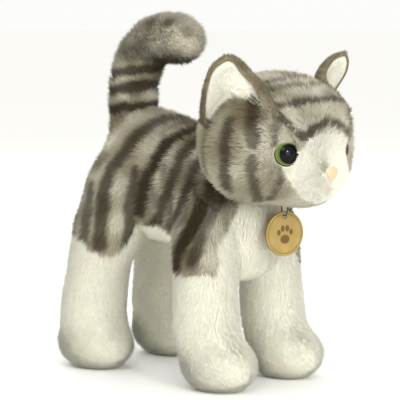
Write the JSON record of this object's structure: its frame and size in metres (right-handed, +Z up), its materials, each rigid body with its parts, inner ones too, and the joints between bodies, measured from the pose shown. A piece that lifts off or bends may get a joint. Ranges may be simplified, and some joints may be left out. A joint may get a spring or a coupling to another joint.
{
  "type": "plush cat",
  "caption": "Standing plush tabby cat with white muzzle, bib and legs, plastic eyes, an upright curled tail and a round hang tag; head, legs, ears and tail flex.",
  "frame": {"origin": "bottom centre of the bounding box, on the surface the paws stand on", "axes": "+Z up; the cat faces -Y and its left side is +X"},
  "size_m": [0.135, 0.257, 0.29],
  "materials": {
    "tabby_plush": "long soft striped pile",
    "white_plush": "soft white pile",
    "ear_plush": "short brushed pile",
    "stuffing": "polyester fibre filling",
    "eye_plastic": "clear dome over a green iris",
    "eye_liner": "dark felt",
    "washer_plastic": "moulded",
    "peach_thread": "satin stitch",
    "tag_card": "gold printed card",
    "tag_string": "twisted thread"
  },
  "bodies": {
    "torso": {"torso_side_left": "tabby_plush", "torso_side_right": "tabby_plush", "torso_belly": "white_plush", "torso_chest": "white_plush", "torso_fill": "stuffing"},
    "neck": {"neck_fill": "stuffing"},
    "head": {"head_side_left": "tabby_plush", "head_side_right": "tabby_plush", "head_crown": "tabby_plush", "head_chin": "tabby_plush", "muzzle": "white_plush", "head_fill": "stuffing", "eye_left": "eye_plastic", "eye_left_liner": "eye_liner", "eye_left_washer": "washer_plastic", "eye_right": "eye_plastic", "eye_right_liner": "eye_liner", "eye_right_washer": "washer_plastic", "nose": "peach_thread", "mouth_stitch": "peach_thread"},
    "ear_left": {"ear_left_back": "ear_plush", "ear_left_lining": "white_plush"},
    "ear_right": {"ear_right_back": "ear_plush", "ear_right_lining": "white_plush"},
    "front_leg_left": {"front_leg_left_upper_skin": "tabby_plush", "front_leg_left_sleeve_skin": "white_plush", "front_leg_left_sole": "white_plush", "front_leg_left_fill": "stuffing"},
    "front_leg_right": {"front_leg_right_upper_skin": "tabby_plush", "front_leg_right_sleeve_skin": "white_plush", "front_leg_right_sole": "white_plush", "front_leg_right_fill": "stuffing"},
    "hind_leg_left": {"hind_leg_left_upper_skin": "tabby_plush", "hind_leg_left_sleeve_skin": "white_plush", "hind_leg_left_sole": "white_plush", "hind_leg_left_fill": "stuffing"},
    "hind_leg_right": {"hind_leg_right_upper_skin": "tabby_plush", "hind_leg_right_sleeve_skin": "white_plush", "hind_leg_right_sole": "white_plush", "hind_leg_right_fill": "stuffing"},
    "tail_lower": {"tail_lower_skin": "tabby_plush", "tail_lower_fill": "stuffing"},
    "tail_upper": {"tail_upper_skin": "tabby_plush", "tail_upper_fill": "stuffing"},
    "tag": {"tag_disc": "tag_card", "tag_string": "tag_string"}
  },
  "joints": [
    {"name": "head_turn", "type": "hinge", "parent": "torso", "child": "neck", "pos_m": [0, -0.0275, 0.166], "axis": [0, 0, 1], "range_deg": [-18, 18], "stiffness_Nm_per_rad": 0.35},
    {"name": "head_nod", "type": "hinge", "parent": "neck", "child": "head", "pos_m": [0, -0.0275, 0.166], "axis": [1, 0, 0], "range_deg": [-10, 4], "stiffness_Nm_per_rad": 0.6},
    {"name": "tail_root_bend", "type": "hinge", "parent": "torso", "child": "tail_lower", "pos_m": [0, 0.0885, 0.172], "axis": [1, 0, 0], "range_deg": [-15, 15], "stiffness_Nm_per_rad": 0.12},
    {"name": "tail_tip_bend", "type": "hinge", "parent": "tail_lower", "child": "tail_upper", "pos_m": [0, 0.0925, 0.231], "axis": [1, 0, 0], "range_deg": [-15, 15], "stiffness_Nm_per_rad": 0.06},
    {"name": "tag_swing", "type": "hinge", "parent": "head", "child": "tag", "pos_m": [0, -0.0755, 0.148], "axis": [-1, 0, 0], "range_deg": [-5, 40]},
    {"name": "front_leg_left_swing", "type": "hinge", "parent": "torso", "child": "front_leg_left", "pos_m": [0.034, -0.0265, 0.126], "axis": [1, 0, 0], "range_deg": [-14, 14], "stiffness_Nm_per_rad": 0.4},
    {"name": "front_leg_right_swing", "type": "hinge", "parent": "torso", "child": "front_leg_right", "pos_m": [-0.034, -0.0265, 0.126], "axis": [1, 0, 0], "range_deg": [-14, 14], "stiffness_Nm_per_rad": 0.4},
    {"name": "hind_leg_left_swing", "type": "hinge", "parent": "torso", "child": "hind_leg_left", "pos_m": [0.033, 0.0925, 0.132], "axis": [1, 0, 0], "range_deg": [-14, 14], "stiffness_Nm_per_rad": 0.4},
    {"name": "hind_leg_right_swing", "type": "hinge", "parent": "torso", "child": "hind_leg_right", "pos_m": [-0.033, 0.0925, 0.132], "axis": [1, 0, 0], "range_deg": [-14, 14], "stiffness_Nm_per_rad": 0.4},
    {"name": "ear_left_fold", "type": "hinge", "parent": "head", "child": "ear_left", "pos_m": [0.045, -0.0745, 0.233], "axis": [0.4189, 0.8579, -0.2974], "range_deg": [-10, 15], "stiffness_Nm_per_rad": 0.01},
    {"name": "ear_right_fold", "type": "hinge", "parent": "head", "child": "ear_right", "pos_m": [-0.045, -0.0745, 0.233], "axis": [0.4189, -0.8579, 0.2974], "range_deg": [-10, 15], "stiffness_Nm_per_rad": 0.01}
  ]
}
